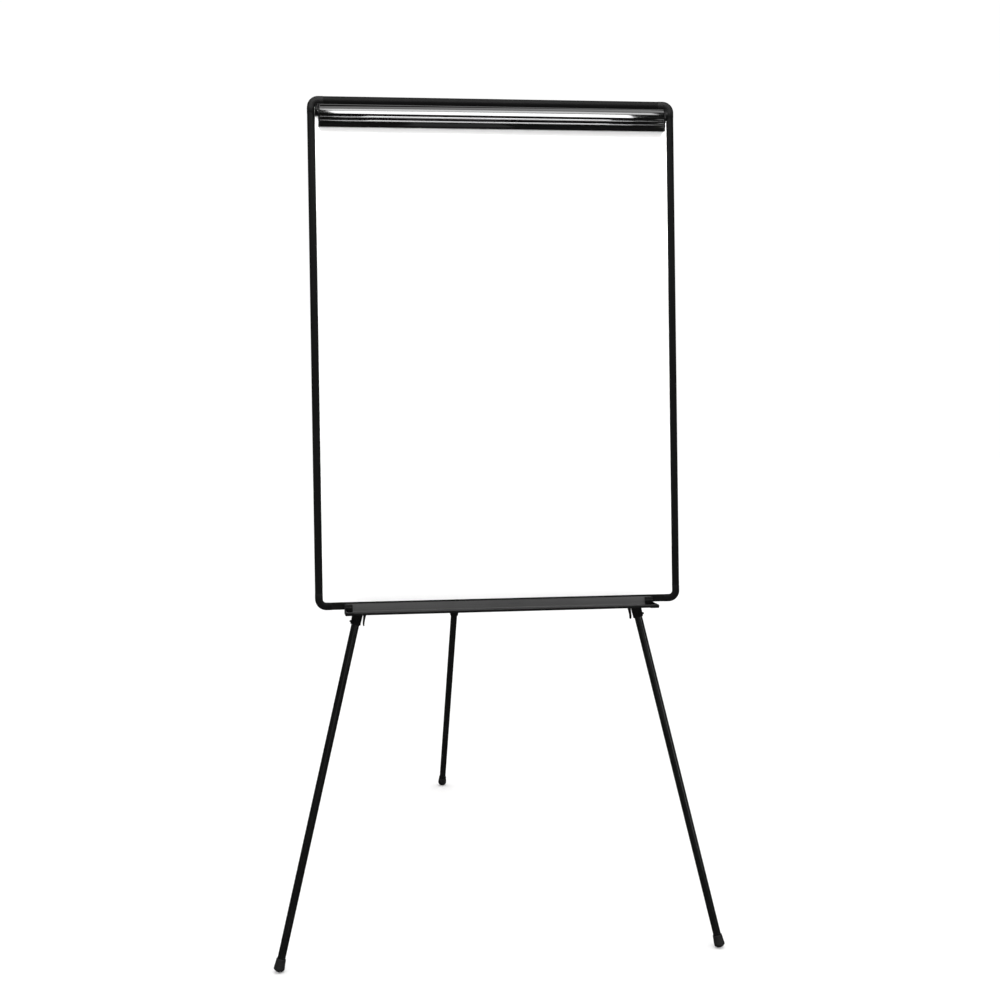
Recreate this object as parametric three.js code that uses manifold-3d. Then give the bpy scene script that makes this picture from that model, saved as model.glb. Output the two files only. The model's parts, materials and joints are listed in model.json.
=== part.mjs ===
// Tripod flipchart easel: a framed dry-erase board with a rocking pad retainer and a marker tray,
// on two splayed front legs and one rear leg, each a telescopic tube with a lever lock.
//
// Millimetres, +Z up, front towards -Y. The origin is on the floor under the middle of the whole
// easel's box. The board and the front legs share one leaning plane. Places on it are given as
// u (to the right), v (up the slope from the floor) and w (ahead of the front legs' axes).

import * as THREE from 'three';
import { mergeVertices } from 'three/addons/utils/BufferGeometryUtils.js';
import Module from 'manifold-3d';

const wasm = await Module();
wasm.setup();

// ---------------------------------------------------------------- driving dimensions

const rad = THREE.MathUtils.degToRad;
const gap = 0.3; // left between pieces that touch

const lean = rad(6.07); // the board and the front legs lean back
const boardWidth = 736.6; // 29 in
const boardHeight = 1011.4; // 40 in nominal, over the frame
const boardBottom = 721.2; // v of the frame's lower edge
const boardTop = boardBottom + boardHeight;
const frameBack = 12; // w of the frame's back face
const frameFront = 30; // w of the frame's front face
const barWidth = 15; // width of a frame bar seen from the front
const barWall = 1.8; // wall of the extruded frame profile
const lipDepth = 2; // thickness of the frame's front lip
const cornerRadius = 22; // outer radius of a frame corner
const cornerReach = 32; // length of a corner piece along each side
const panelFront = frameFront - lipDepth - gap;
const panelThickness = 2;
const backingThickness = 2.4;
const panelInset = 4; // from the frame's outer edge to the panel's edge

const tubeFacets = 24;
const upperTubeRadius = 9.2;
const upperTubeBore = 8.3;
const lowerTubeRadius = 8;
const lowerTubeBore = 7;
const splay = rad(13.4); // of each front leg, in the leaning plane
const frontPivot = { u: 46.1, v: 1707 };
const rearPivot = { w: -28, v: 1710 };
const rearSlope = rad(30.5); // of the rear leg from the vertical
const frontCollarEnd = 1047; // from the pivot down the leg to the collar's lower end
const rearCollarEnd = 1345;
const frontLowerTube = 1015; // length of the lower tube
const rearLowerTube = 1010;
const footDome = 14; // radius of the rubber foot's round sole

const trayHalf = 311.4; // half the tray's length over its end caps
const trayCapThickness = 2.8;
const trayCapReach = 13.4; // how far a cap's sleeve covers the tray's end
const trayCapWall = 0.7; // wall of the sleeve, under and ahead of the tray
const trayFront = 91; // w of the end caps' front
const trayDepth = 7.6; // of the end caps, below the frame
const retainerHalf = 346.9; // half the pad retainer's length over its end caps
const retainerCapThickness = 2.2;
const retainerTop = boardTop - barWidth - 0.6; // v of the retainer's upper edge
const retainerPin = { w: 38, v: retainerTop - 16.6 };
const keeperStop = 290; // u where a spread front leg meets the keeper bar's end
const hubScrew = { u: 80, v: 1725.5 };
const keeperScrew = { u: 303, v: boardBottom + 7.5 };
const trayScrew = { u: 200, w: 20 };

// ---------------------------------------------------------------- materials

const finishes = {
  aluminium: { color: 0x17181a, roughness: 0.4, metalness: 0.6 },
  steelTube: { color: 0x121314, roughness: 0.32, metalness: 0.5 },
  blackPlastic: { color: 0x151516, roughness: 0.5, metalness: 0 },
  glossPlastic: { color: 0x0c0d0e, roughness: 0.15, metalness: 0 },
  rubber: { color: 0x101011, roughness: 0.85, metalness: 0 },
  whiteBoard: { color: 0xfafafa, roughness: 0.12, metalness: 0 },
  hardboard: { color: 0x8d7355, roughness: 0.8, metalness: 0 },
  zinc: { color: 0xb9bcc0, roughness: 0.35, metalness: 0.9 },
  springSteel: { color: 0x9a9ea3, roughness: 0.3, metalness: 1 },
};

function makePart(name, geometry, finish) {
  const mesh = new THREE.Mesh(geometry, new THREE.MeshStandardMaterial(finishes[finish]));
  mesh.name = name;
  return mesh;
}

// ---------------------------------------------------------------- solids

function toSolid(geometry) {
  const bare = geometry.clone();
  bare.deleteAttribute('normal');
  bare.deleteAttribute('uv');
  const merged = mergeVertices(bare, 1e-4);
  const source = merged.index.array;
  const kept = [];
  for (let i = 0; i < source.length; i += 3) {
    const [a, b, c] = [source[i], source[i + 1], source[i + 2]];
    if (a !== b && b !== c && c !== a) kept.push(a, b, c);
  }
  return new wasm.Manifold(new wasm.Mesh({
    numProp: 3,
    vertProperties: new Float32Array(merged.attributes.position.array),
    triVerts: new Uint32Array(kept),
  }));
}

function toGeometry(solid) {
  const mesh = solid.getMesh();
  const geometry = new THREE.BufferGeometry();
  geometry.setAttribute('position', new THREE.BufferAttribute(new Float32Array(mesh.vertProperties), 3));
  geometry.setIndex(new THREE.BufferAttribute(new Uint32Array(mesh.triVerts), 1));
  geometry.computeVertexNormals();
  return geometry;
}

// Joins the first list of geometries and cuts the second list out of it.
function combine(joined, cut = []) {
  let solid = toSolid(joined[0]);
  for (const piece of joined.slice(1)) solid = solid.add(toSolid(piece));
  for (const piece of cut) solid = solid.subtract(toSolid(piece));
  return toGeometry(solid);
}

function box(x, y, z) {
  const size = [x, y, z].map(([low, high]) => high - low);
  const middle = [x, y, z].map(([low, high]) => (low + high) / 2);
  return new THREE.BoxGeometry(...size).translate(...middle);
}

// A box on the leaning plane, from its ranges of u, w and v.
function boardBox(u, w, v) {
  return box(u, [-w[1], -w[0]], v);
}

// A rod along X, Y or Z through the point, from low to high on that axis.
function rod(axis, point, low, high, radius, facets = 16) {
  const geometry = new THREE.CylinderGeometry(radius, radius, high - low, facets);
  if (axis === 'x') geometry.rotateZ(-Math.PI / 2);
  if (axis === 'z') geometry.rotateX(Math.PI / 2);
  const place = { ...point, [axis]: (low + high) / 2 };
  return geometry.translate(place.x ?? 0, place.y ?? 0, place.z ?? 0);
}

// A turned piece about Z, from [radius, height] points that run up its outside.
function turned(points, facets = tubeFacets) {
  const profile = points.map(([radius, height]) => new THREE.Vector2(radius, height));
  return new THREE.LatheGeometry(profile, facets).rotateX(Math.PI / 2);
}

function outlineOf(points) {
  return new THREE.Shape(points.map(([x, y]) => new THREE.Vector2(x, y)));
}

// An outline in (w, v), carried along the board from u = low to u = high.
function alongU(shape, low, high, curveSegments = 6) {
  const geometry = new THREE.ExtrudeGeometry(shape, { depth: high - low, bevelEnabled: false, curveSegments });
  const turn = new THREE.Matrix4().makeBasis(
    new THREE.Vector3(0, -1, 0),
    new THREE.Vector3(0, 0, 1),
    new THREE.Vector3(-1, 0, 0),
  );
  return geometry.translate(0, 0, -high).applyMatrix4(turn);
}

// An outline in (u, v), carried through the board's thickness from w = low to w = high.
function alongW(shape, low, high, curveSegments = 6) {
  const geometry = new THREE.ExtrudeGeometry(shape, { depth: high - low, bevelEnabled: false, curveSegments });
  return geometry.translate(0, 0, low).rotateX(Math.PI / 2);
}

// An outline in (u, -w), carried up the board from v = low to v = high.
function alongV(shape, low, high) {
  const geometry = new THREE.ExtrudeGeometry(shape, { depth: high - low, bevelEnabled: false });
  return geometry.translate(0, 0, low);
}

function roundedRectangle(left, right, low, high, radius) {
  const shape = new THREE.Shape();
  shape.moveTo(right - radius, low);
  shape.absarc(right - radius, low + radius, radius, -Math.PI / 2, 0, false);
  shape.absarc(right - radius, high - radius, radius, 0, Math.PI / 2, false);
  shape.absarc(left + radius, high - radius, radius, Math.PI / 2, Math.PI, false);
  shape.absarc(left + radius, low + radius, radius, Math.PI, Math.PI * 1.5, false);
  return shape;
}

// ---------------------------------------------------------------- board frame

// One extruded frame bar along X: its outer edge lies on Z = 0 and it faces inwards to -Z.
function frameBar(length, holes = []) {
  const lipBack = frameFront - lipDepth;
  const ribFront = panelFront - panelThickness - backingThickness - 2 * gap;
  const ribBack = ribFront - barWall;
  const section = outlineOf([
    [frameBack, 0],
    [frameBack, -barWidth],
    [frameBack + barWall, -barWidth],
    [frameBack + barWall, -barWall],
    [ribBack, -barWall],
    [ribBack, -barWidth],
    [ribFront, -barWidth],
    [ribFront, -barWall],
    [lipBack, -barWall],
    [lipBack, -barWidth],
    [frameFront, -barWidth],
    [frameFront, 0],
  ]);
  return combine([alongU(section, -length / 2, length / 2)], holes);
}

// The L-shaped band of a corner piece between two insets from the outer edge, about its arc's centre.
function cornerBand(outer, inner) {
  const stub = cornerRadius - cornerReach;
  const outerRadius = cornerRadius - outer;
  const innerRadius = cornerRadius - inner;
  const shape = new THREE.Shape();
  shape.moveTo(outerRadius, stub);
  shape.absarc(0, 0, outerRadius, 0, Math.PI / 2, false);
  shape.lineTo(stub, outerRadius);
  shape.lineTo(stub, innerRadius);
  shape.absarc(0, 0, innerRadius, Math.PI / 2, 0, true);
  shape.lineTo(innerRadius, stub);
  return shape;
}

function cornerPiece() {
  const slotBack = panelFront - panelThickness - backingThickness - 2 * gap;
  const slotFront = frameFront - lipDepth;
  return combine([
    alongW(cornerBand(0, barWidth), frameBack, slotBack),
    alongW(cornerBand(0, 3), slotBack - 0.5, slotFront + 0.5),
    alongW(cornerBand(0, barWidth), slotFront, frameFront),
  ]);
}

function addFrame(board) {
  const acrossLength = boardWidth - 2 * (cornerReach + gap);
  const upLength = boardHeight - 2 * (cornerReach + gap);
  const middle = (boardTop + boardBottom) / 2;
  const screwDepth = frameBack + 6;
  const hubHoles = [-1, 1].map((side) => rod('y',
    { x: side * hubScrew.u, z: hubScrew.v - boardTop }, -screwDepth, -frameBack + 2, 2.3));
  // The bottom bar is the top bar turned over, so its hole places are turned too.
  const keeperHoles = [-1, 1].map((side) => rod('y',
    { x: side * keeperScrew.u, z: boardBottom - keeperScrew.v }, -screwDepth, -frameBack + 2, 2.3));
  const trayHoles = [-1, 1].map((side) => rod('z',
    { x: side * trayScrew.u, y: -trayScrew.w }, -4, 2, 2.1));

  const topRail = makePart('top_rail', frameBar(acrossLength, hubHoles), 'aluminium');
  topRail.position.z = boardTop;
  const bottomRail = makePart('bottom_rail', frameBar(acrossLength, [...keeperHoles, ...trayHoles]), 'aluminium');
  bottomRail.position.z = boardBottom;
  bottomRail.rotation.y = Math.PI;
  board.add(topRail, bottomRail);
  for (const [name, side] of [['left_rail', -1], ['right_rail', 1]]) {
    const rail = makePart(name, frameBar(upLength), 'aluminium');
    rail.position.set(side * boardWidth / 2, 0, middle);
    rail.rotation.y = side * Math.PI / 2;
    board.add(rail);
  }

  const corners = [
    ['top_left_corner', -1, 1, -Math.PI / 2],
    ['top_right_corner', 1, 1, 0],
    ['bottom_left_corner', -1, -1, Math.PI],
    ['bottom_right_corner', 1, -1, Math.PI / 2],
  ];
  for (const [name, sideways, upward, turn] of corners) {
    const corner = makePart(name, cornerPiece(), 'blackPlastic');
    const across = boardWidth / 2 - cornerRadius;
    const along = boardHeight / 2 - cornerRadius;
    corner.position.set(sideways * across, 0, middle + upward * along);
    corner.rotation.y = turn;
    board.add(corner);
  }
}

function addPanels(board) {
  const half = boardWidth / 2 - panelInset;
  const low = boardBottom + panelInset;
  const high = boardTop - panelInset;
  const sheet = roundedRectangle(-half, half, low, high, cornerRadius - panelInset);
  const panelBack = panelFront - panelThickness;
  const backingFront = panelBack - gap;
  board.add(
    makePart('dry_erase_panel', alongW(sheet, panelBack, panelFront), 'whiteBoard'),
    makePart('backing_sheet', alongW(sheet, backingFront - backingThickness, backingFront), 'hardboard'),
  );
}

// ---------------------------------------------------------------- marker tray

// The tray's section in (w, v): a flange under the frame, an upstand over the bottom bar's face,
// a shallow floor and a low front lip.
function traySection() {
  const shape = new THREE.Shape();
  const under = boardBottom - gap;
  const upstandBack = frameFront + gap;
  const front = trayFront - trayCapWall - gap;
  const base = under - trayDepth + trayCapWall + gap;
  const floor = base + 1.6;
  shape.moveTo(frameBack + 2, under);
  shape.lineTo(frameBack + 2, under - 2);
  shape.lineTo(29, under - 2);
  shape.quadraticCurveTo(31, base + 0.2, 36, base);
  shape.lineTo(front - 1.8, base);
  shape.quadraticCurveTo(front - 0.2, base + 0.2, front, base + 1.6);
  shape.lineTo(front, under - 2.4);
  shape.quadraticCurveTo(front - 0.8, under - 1.5, front - 1.8, under - 2.2);
  shape.lineTo(front - 2.4, floor + 0.8);
  shape.quadraticCurveTo(front - 3.2, floor, front - 4.4, floor);
  shape.lineTo(38, floor);
  shape.quadraticCurveTo(33.4, floor + 0.4, 33, under - 1.5);
  shape.lineTo(32.4, boardBottom + 10.4);
  shape.quadraticCurveTo(31.8, boardBottom + 11.8, upstandBack, boardBottom + 11.6);
  shape.lineTo(upstandBack, under);
  return shape;
}

// The end cap's outline in (w, v): it closes the trough and slopes down from the upstand to the lip.
function trayCapOutline() {
  const low = boardBottom - gap - trayDepth;
  const shape = new THREE.Shape();
  shape.moveTo(frameFront + gap, low + 2);
  shape.lineTo(32.5, low);
  shape.lineTo(86, low);
  shape.quadraticCurveTo(trayFront, low, trayFront, low + 5);
  shape.quadraticCurveTo(90.4, low + 7, 88, low + 7);
  shape.lineTo(42, low + 8.2);
  shape.quadraticCurveTo(36, low + 9.2, 35.2, boardBottom + 6);
  shape.lineTo(34.6, boardBottom + 9.5);
  shape.lineTo(frameFront + gap, boardBottom + 11.6);
  return shape;
}

// A moulded cap: a plate over the tray's end, and a sleeve that the tray's end slides into. The
// sleeve is open over the tray's floor, which stays clear up to the plate.
function trayCap(side) {
  const ordered = (near, far) => (side > 0 ? [near, far] : [-far, -near]);
  const plate = trayHalf - trayCapThickness;
  const sleeveEnd = plate - trayCapReach;
  const inside = ordered(sleeveEnd - 1, plate);
  const justOverFloor = boardBottom - trayDepth + trayCapWall + 1.8;
  const cuts = [boardBox(inside, [36, trayFront - 4.6], [justOverFloor, boardBottom + 12])];
  for (const w of [-gap, gap]) {
    for (const v of [-gap, gap]) {
      cuts.push(alongU(traySection(), ...inside, 3).translate(0, -w, v));
    }
  }
  return combine([alongU(trayCapOutline(), ...ordered(sleeveEnd, trayHalf), 3)], cuts);
}

function addTray(board) {
  const reach = trayHalf - trayCapThickness - gap;
  const underside = boardBottom - gap;
  const holes = [-1, 1].map((side) => rod('z',
    { x: side * trayScrew.u, y: -trayScrew.w }, underside - 4, underside + 2, 2.1));
  board.add(makePart('marker_tray', combine([alongU(traySection(), -reach, reach, 3)], holes), 'aluminium'));
  for (const [word, side] of [['left', -1], ['right', 1]]) {
    board.add(makePart(`${word}_tray_end_cap`, trayCap(side), 'blackPlastic'));
    const headTop = underside - 2 - gap;
    const place = { x: side * trayScrew.u, y: -trayScrew.w };
    const screw = combine([
      rod('z', place, headTop - 2.2, headTop, 3.8),
      rod('z', place, headTop - 1, underside + 4, 1.8, 12),
    ]);
    board.add(makePart(`${word}_tray_screw`, screw, 'zinc'));
  }
}

// ---------------------------------------------------------------- pad retainer

// The retainer's outer face in (w, v): a bulging upper face, two thin ridges and an upright lower
// lip whose underside runs back to the board. The caller closes the outline behind it.
function retainerFace() {
  const top = retainerTop;
  const shape = new THREE.Shape();
  shape.moveTo(31.2, top - 1.8);
  shape.quadraticCurveTo(31.4, top, 33.4, top);
  shape.quadraticCurveTo(48.3, top - 2.4, 50.9, top - 22.6);
  shape.quadraticCurveTo(51, top - 23.6, 50, top - 23.7);
  shape.lineTo(47.6, top - 23.9);
  shape.lineTo(47.4, top - 27.9);
  shape.lineTo(48.8, top - 28.2);
  shape.quadraticCurveTo(49.9, top - 29.5, 48.8, top - 30.8);
  shape.lineTo(47, top - 31.1);
  shape.lineTo(46.6, top - 35.2);
  shape.lineTo(47.8, top - 35.5);
  shape.quadraticCurveTo(48.9, top - 36.8, 47.6, top - 38.1);
  shape.lineTo(45.8, top - 38.4);
  shape.lineTo(45.3, top - 46.6);
  shape.quadraticCurveTo(45.1, top - 48.2, 43.4, top - 48.1);
  shape.lineTo(30, top - 46.4);
  shape.lineTo(28.4, top - 45.4);
  return shape;
}

function retainerSection() {
  const top = retainerTop;
  const shape = retainerFace();
  shape.lineTo(28.4, top - 44.4);
  shape.lineTo(41.4, top - 45.7);
  shape.quadraticCurveTo(43.2, top - 45.7, 43.5, top - 43.6);
  shape.lineTo(44.8, top - 25.4);
  shape.lineTo(48.3, top - 21.6);
  shape.quadraticCurveTo(46.2, top - 5.2, 34, top - 2.7);
  shape.lineTo(33.4, top - 4.4);
  shape.lineTo(31.2, top - 4.4);
  return shape;
}

// The bracket at each end that carries the retainer's pin. Its foot stands on the panel, and its
// upper part steps over the frame corner's rounded inner edge.
function retainerBracketOutline() {
  const top = retainerTop;
  const foot = panelFront + gap;
  const step = frameFront + gap;
  const shape = new THREE.Shape();
  shape.moveTo(foot, top - 8);
  shape.lineTo(step, top - 8);
  shape.lineTo(step, top);
  shape.lineTo(33, top);
  shape.quadraticCurveTo(45, top - 2, 46, top - 14);
  shape.quadraticCurveTo(45.6, top - 24, 37, top - 24.5);
  shape.lineTo(foot, top - 24.5);
  return shape;
}

// A bent leaf that stands on the panel and presses the retainer's upper half outwards.
function retainerSpringOutline() {
  const top = retainerTop;
  const foot = panelFront + gap;
  const thickness = 0.7;
  const shape = new THREE.Shape();
  shape.moveTo(foot, top - 4);
  shape.lineTo(foot, top - 13);
  shape.quadraticCurveTo(foot + 0.4, top - 15.6, foot + 3, top - 15.2);
  shape.quadraticCurveTo(foot + 10, top - 14, foot + 14.4, top - 8.8);
  shape.lineTo(foot + 13.8, top - 8.4);
  shape.quadraticCurveTo(foot + 9.6, top - 13.2, foot + 3, top - 14.4);
  shape.quadraticCurveTo(foot + 1, top - 14.6, foot + thickness, top - 13);
  shape.lineTo(foot + thickness, top - 4);
  return shape;
}

function addRetainer(board) {
  const capNear = retainerHalf - retainerCapThickness;
  const barHalf = capNear - gap;
  const bracketNear = retainerHalf + 0.5;
  const bracketFar = boardWidth / 2 - barWidth - gap;
  const springPlace = 210;
  const springHalf = 12;
  const pinPlace = { y: -retainerPin.w, z: retainerPin.v };
  board.add(makePart('retainer_bar', alongU(retainerSection(), -barHalf, barHalf, 5), 'glossPlastic'));
  for (const [word, side] of [['left', -1], ['right', 1]]) {
    const ordered = (near, far) => (side > 0 ? [near, far] : [-far, -near]);
    const hole = rod('x', pinPlace, ...ordered(retainerHalf - 20, retainerHalf + 20), 2.3, 12);
    const cap = combine([alongU(retainerFace(), ...ordered(capNear, retainerHalf), 3)], [hole]);
    const bracket = combine([alongU(retainerBracketOutline(), ...ordered(bracketNear, bracketFar), 5)], [hole]);
    const pin = rod('x', pinPlace, ...ordered(retainerHalf - 6, bracketFar - 0.4), 2, 12);
    const spring = alongU(retainerSpringOutline(), ...ordered(springPlace - springHalf, springPlace + springHalf), 4);
    board.add(
      makePart(`${word}_retainer_end_cap`, cap, 'blackPlastic'),
      makePart(`${word}_retainer_bracket`, bracket, 'blackPlastic'),
      makePart(`${word}_retainer_pin`, pin, 'zinc'),
      makePart(`${word}_retainer_spring`, spring, 'springSteel'),
    );
  }
}

// ---------------------------------------------------------------- hub and keeper bar

// The moulded hub behind the top bar: two plates that hold the front legs between them, and two
// ears behind them that hold the rear leg.
function hubBracket() {
  const plateFront = frameBack - gap;
  const plateInner = upperTubeRadius + gap;
  const plateLow = 1688;
  const plateHigh = 1727;
  const earInner = upperTubeRadius + 0.6;
  const earOuter = 13;
  const joined = [
    alongW(roundedRectangle(-92, 92, plateLow, 1731.5, 6), plateInner, plateFront, 4),
    alongW(roundedRectangle(-66, 66, plateLow, plateHigh, 6), -plateFront, -plateInner, 4),
    boardBox([-62, 62], [-plateFront + 0.5, plateInner + 0.5], [plateHigh - 4, plateHigh - 0.5]),
    boardBox([-14, 14], [-plateFront + 0.5, plateInner + 0.5], [plateLow + 1, plateHigh - 1]),
  ];
  for (const span of [[earInner, earOuter], [-earOuter, -earInner]]) {
    const ear = new THREE.Shape();
    ear.moveTo(-plateInner, 1694);
    ear.lineTo(-plateInner, 1724);
    ear.lineTo(rearPivot.w, rearPivot.v + 12);
    ear.absarc(rearPivot.w, rearPivot.v, 12, Math.PI / 2, Math.PI * 1.35, false);
    joined.push(alongU(ear, ...span, 8));
  }
  const cut = [rod('x', { y: -rearPivot.w, z: rearPivot.v }, -20, 20, 3.3)];
  for (const side of [-1, 1]) {
    cut.push(rod('y', { x: side * frontPivot.u, z: frontPivot.v }, -20, 20, 3.3));
    cut.push(rod('y', { x: side * hubScrew.u, z: hubScrew.v }, -20, 0, 2.3));
  }
  return combine(joined, cut);
}

// A screw driven forwards into the frame: its round head bears on the face at w = seat.
function frameScrew(u, v, seat) {
  const place = { x: u, z: v };
  const headFront = -(seat - gap);
  return combine([
    rod('y', place, headFront, headFront + 2.3, 4),
    rod('y', place, -(frameBack + 5), headFront + 1, 2, 12),
  ]);
}

function addHub(board) {
  board.add(makePart('hub_bracket', hubBracket(), 'blackPlastic'));
  const plateRear = frameBack - gap;
  for (const [word, side] of [['left', -1], ['right', 1]]) {
    const place = { x: side * frontPivot.u, z: frontPivot.v };
    const bolt = combine([
      rod('y', place, plateRear + gap, plateRear + gap + 3.4, 5.6, 6),
      rod('y', place, -plateRear + 0.5, plateRear + 1, 3),
    ]);
    board.add(makePart(`${word}_leg_pivot_bolt`, bolt, 'zinc'));
    const screw = frameScrew(side * hubScrew.u, hubScrew.v, upperTubeRadius + gap);
    board.add(makePart(`${word}_hub_screw`, screw, 'zinc'));
  }
  const place = { y: -rearPivot.w, z: rearPivot.v };
  const rearBolt = combine([
    rod('x', place, -14, 14, 3),
    rod('x', place, 13.3, 17, 5.6, 6),
    rod('x', place, -17, -13.3, 5.6, 6),
  ]);
  board.add(makePart('rear_leg_pivot_bolt', rearBolt, 'zinc'));
}

// The bent strap behind the bottom bar. The front legs swing between it and the frame, and its
// ends stop them when they are spread.
function addKeeper(board) {
  const thickness = 2.2;
  const strapFront = upperTubeRadius + 0.5;
  const strapBack = strapFront + thickness;
  const flangeFront = -(frameBack - gap);
  const flangeBack = flangeFront + thickness;
  const outer = keeperStop + thickness;
  const end = keeperStop + 22;
  const outline = outlineOf([
    [-end, flangeFront],
    [-keeperStop, flangeFront],
    [-keeperStop, strapFront],
    [keeperStop, strapFront],
    [keeperStop, flangeFront],
    [end, flangeFront],
    [end, flangeBack],
    [outer, flangeBack],
    [outer, strapBack],
    [-outer, strapBack],
    [-outer, flangeBack],
    [-end, flangeBack],
  ]);
  const holes = [-1, 1].map((side) => rod('y', { x: side * keeperScrew.u, z: keeperScrew.v }, -14, -8, 2.3));
  const strap = combine([alongV(outline, boardBottom + 1.5, boardBottom + 13.5)], holes);
  board.add(makePart('keeper_bar', strap, 'steelTube'));
  for (const [word, side] of [['left', -1], ['right', 1]]) {
    const screw = frameScrew(side * keeperScrew.u, keeperScrew.v, -flangeBack);
    board.add(makePart(`${word}_keeper_screw`, screw, 'zinc'));
  }
}

// ---------------------------------------------------------------- legs

const collarHeight = 32;
const collarLedge = 22; // from the collar's top to the ledge under the upper tube
const leverPin = { x: -13.7, z: -5 }; // from the collar's axis and top

function topPlug() {
  return combine([
    rod('y', {}, -8.4, 8.4, 8.5, 20),
    rod('z', {}, -15, 0, 8.4, 20),
    rod('z', {}, -48, -14, upperTubeBore - gap, 20),
  ], [rod('y', {}, -12, 12, 3.3)]);
}

function tube(high, low, outside, bore) {
  return turned([[bore, low], [outside, low], [outside, high], [bore, high], [bore, low]]);
}

// The clamp at the upper tube's end, with two cheeks for the lever and a lug on the other side.
function lockCollar() {
  const sleeve = turned([
    [0, -collarHeight],
    [10, -collarHeight],
    [10.5, -collarHeight + 0.8],
    [10.5, -0.8],
    [10, 0],
    [0, 0],
  ]);
  const cheeks = [[5, 7.4], [-7.4, -5]].map((span) => box([-16.6, -5], span, [-10, -1]));
  const lug = box([8, 12.8], [-2.6, 2.6], [-29, -25]);
  return combine([sleeve, ...cheeks, lug], [
    turned([[0, -collarLedge], [upperTubeRadius + gap, -collarLedge], [upperTubeRadius + gap, 2], [0, 2]]),
    turned([[0, -collarHeight - 2], [lowerTubeRadius + gap, -collarHeight - 2],
      [lowerTubeRadius + gap, 0], [0, 0]]),
    rod('y', leverPin, -12, 12, 1.8, 12),
  ]);
}

// The flip lever: a round head on its pin and an arm that hangs beside the collar.
function lockLever() {
  const headRadius = 3.1;
  const outline = new THREE.Shape();
  outline.moveTo(leverPin.x - headRadius, leverPin.z);
  outline.lineTo(-16.6, -22);
  outline.quadraticCurveTo(-16.8, -27, -18.2, -30.4);
  outline.lineTo(-16, -31.4);
  outline.quadraticCurveTo(-13.4, -27, -13, -20);
  outline.lineTo(leverPin.x + 2.6, leverPin.z - 1.7);
  outline.absarc(leverPin.x, leverPin.z, headRadius, -0.58, Math.PI, false);
  const geometry = new THREE.ExtrudeGeometry(outline, { depth: 9.2, bevelEnabled: false, curveSegments: 8 });
  geometry.translate(0, 0, -4.6).rotateX(Math.PI / 2);
  return combine([geometry], [rod('y', leverPin, -8, 8, 1.8, 12)]);
}

function slideBush() {
  return turned([
    [0, -14],
    [lowerTubeBore - gap, -14],
    [lowerTubeBore - gap, gap],
    [upperTubeBore - 0.2, gap],
    [upperTubeBore - 0.2, 5],
    [6.6, 6],
    [0, 6],
  ]);
}

// The rubber foot about its sole's lowest point on the axis: a flared sleeve over a round sole.
function rubberFoot() {
  const radius = 11;
  const floor = 6;
  const steps = 6;
  const edge = Math.asin(radius / footDome);
  const sole = [];
  for (let i = 0; i <= steps; i += 1) {
    const angle = edge * i / steps;
    sole.push([footDome * Math.sin(angle), footDome * (1 - Math.cos(angle))]);
  }
  return turned([
    ...sole,
    [radius, 12],
    [9.8, 25.5],
    [9.4, 27],
    [lowerTubeRadius + gap, 27],
    [lowerTubeRadius + gap, floor],
    [0, floor],
  ]);
}

// One leg about its top pivot, hanging down -Z, with its lever on the -X side.
function buildLeg(name, length, collarEnd, lowerTubeLength) {
  const leg = new THREE.Group();
  const collarTop = -(collarEnd - collarHeight);
  const upperEnd = collarTop - collarLedge + gap;
  const lowerEnd = -length + 6 + gap;
  const lowerTop = lowerEnd + lowerTubeLength;
  const add = (suffix, geometry, finish, z = 0) => {
    const mesh = makePart(`${name}_${suffix}`, geometry, finish);
    mesh.position.z = z;
    leg.add(mesh);
  };
  add('top_plug', topPlug(), 'blackPlastic');
  add('upper_tube', tube(-15 - gap, upperEnd, upperTubeRadius, upperTubeBore), 'steelTube');
  add('lock_collar', lockCollar(), 'blackPlastic', collarTop);
  add('lever_pin', rod('y', leverPin, -7.9, 7.9, 1.5, 12), 'zinc', collarTop);
  add('lock_lever', lockLever(), 'blackPlastic', collarTop);
  add('lower_tube', tube(lowerTop, lowerEnd, lowerTubeRadius, lowerTubeBore), 'steelTube');
  add('slide_bush', slideBush(), 'blackPlastic', lowerTop);
  add('foot', rubberFoot(), 'rubber', -length);
  return leg;
}

// The length from a pivot at this height to the sole, so that the round sole just meets the floor.
function legLength(pivotHeight, slopeCosine) {
  return footDome + (pivotHeight - footDome) / slopeCosine;
}

function addLegs(board) {
  const frontHeight = frontPivot.v * Math.cos(lean);
  const frontLength = legLength(frontHeight, Math.cos(splay) * Math.cos(lean));
  for (const [name, side, turn] of [['left_leg', -1, Math.PI], ['right_leg', 1, 0]]) {
    const leg = buildLeg(name, frontLength, frontCollarEnd, frontLowerTube);
    leg.rotation.z = turn;
    const swung = new THREE.Group();
    swung.position.set(side * frontPivot.u, 0, frontPivot.v);
    swung.rotation.y = -side * splay;
    swung.add(leg);
    board.add(swung);
  }
  const rearHeight = rearPivot.v * Math.cos(lean) + rearPivot.w * Math.sin(lean);
  const rearLength = legLength(rearHeight, Math.cos(rearSlope));
  const rear = buildLeg('rear_leg', rearLength, rearCollarEnd, rearLowerTube);
  rear.rotation.z = -Math.PI / 2;
  const swung = new THREE.Group();
  swung.position.set(0, -rearPivot.w, rearPivot.v);
  swung.rotation.x = rearSlope + lean;
  swung.add(rear);
  board.add(swung);
}

// ---------------------------------------------------------------- easel

const board = new THREE.Group();
board.rotation.x = -lean;
addFrame(board);
addPanels(board);
addTray(board);
addRetainer(board);
addHub(board);
addKeeper(board);
addLegs(board);

const easel = new THREE.Group();
easel.add(board);
easel.updateMatrixWorld(true);
const bounds = new THREE.Box3().setFromObject(easel, true);
const middle = bounds.getCenter(new THREE.Vector3());
easel.position.set(0, -middle.y, -bounds.min.z);
easel.updateMatrixWorld(true);

export default easel;
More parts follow.
